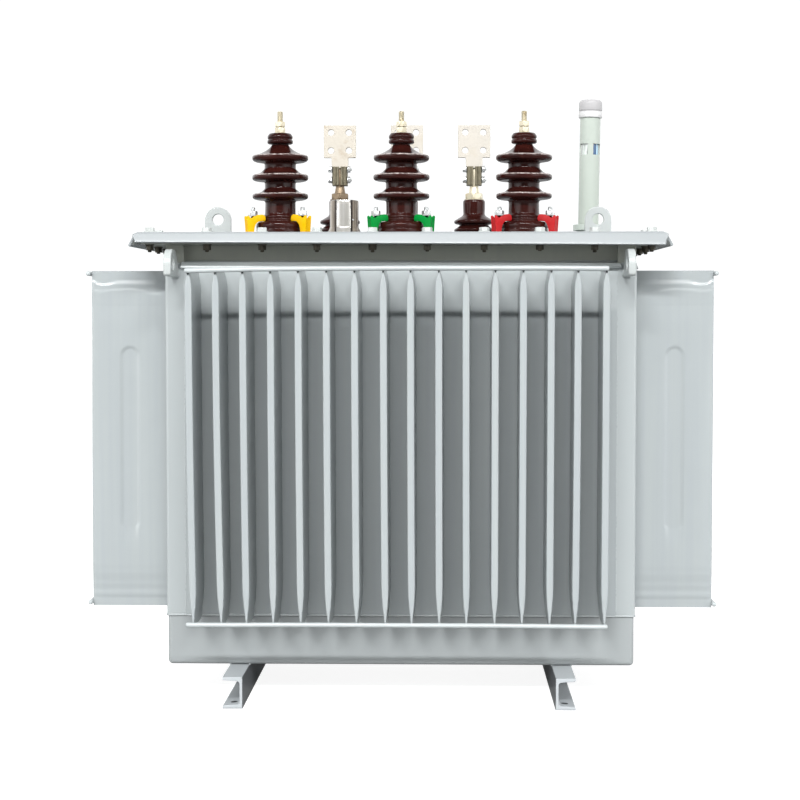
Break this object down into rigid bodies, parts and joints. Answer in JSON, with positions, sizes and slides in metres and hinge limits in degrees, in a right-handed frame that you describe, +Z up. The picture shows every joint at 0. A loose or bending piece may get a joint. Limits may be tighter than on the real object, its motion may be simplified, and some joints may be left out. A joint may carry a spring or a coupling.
{
  "type": "oil-immersed distribution transformer",
  "caption": "Three-phase oil-immersed distribution transformer with ribbed cooling walls, brown bushings on a bolted cover and two foot channels.",
  "frame": {"origin": "on the ground, midway between the foot channels and midway from front to back", "axes": "+X right along the long side, -Y to the front where the high-voltage bushings are, +Z up"},
  "size_m": [1.3098, 0.7578, 1.259],
  "materials": {
    "tank_paint": "semi-gloss light grey paint",
    "fin_paint": "semi-gloss light grey paint",
    "cover_paint": "semi-gloss light grey paint",
    "gasket_rubber": "matt black rubber",
    "brown_porcelain": "glossy dark brown glaze",
    "plated_steel": "dull plated steel",
    "yellow_paint": "yellow enamel",
    "green_paint": "green enamel",
    "red_paint": "red enamel",
    "tinned_metal": "tinned, lightly scratched",
    "valve_chrome": "bright plate",
    "gauge_enamel": "pale grey-green enamel",
    "gauge_cap_paint": "off-white moulding"
  },
  "bodies": {
    "root": {"channel_left": "tank_paint", "channel_right": "tank_paint", "base_tray": "tank_paint", "tank_body": "tank_paint", "rim_flange": "tank_paint", "cover_gasket": "gasket_rubber", "fin_wall_front": "fin_paint", "fin_wall_back": "fin_paint", "fin_wall_left": "fin_paint", "fin_wall_right": "fin_paint", "fin_rods_front": "fin_paint", "fin_rods_back": "fin_paint", "fin_rods_left": "fin_paint", "fin_rods_right": "fin_paint", "cover": "cover_paint", "tank_lug_front_left": "cover_paint", "tank_lug_front_right": "cover_paint", "tank_lug_back_left": "cover_paint", "tank_lug_back_right": "cover_paint", "lifting_eye_left": "cover_paint", "lifting_eye_right": "cover_paint", "hv_bushing_left": "brown_porcelain", "hv_bushing_middle": "brown_porcelain", "hv_bushing_right": "brown_porcelain", "hv_stud_left": "plated_steel", "hv_stud_middle": "plated_steel", "hv_stud_right": "plated_steel", "hv_clamps_left": "yellow_paint", "hv_clamps_middle": "green_paint", "hv_clamps_right": "red_paint", "lv_bushing_left": "brown_porcelain", "lv_bushing_middle": "brown_porcelain", "lv_bushing_right": "brown_porcelain", "lv_stud_left": "plated_steel", "lv_stud_middle": "plated_steel", "lv_stud_right": "plated_steel", "lv_palm_left": "tinned_metal", "lv_palm_middle": "tinned_metal", "lv_palm_right": "tinned_metal", "relief_valve": "valve_chrome", "gauge_base": "cover_paint", "gauge_tube": "gauge_enamel", "gauge_cap": "gauge_cap_paint"}
  },
  "joints": []
}
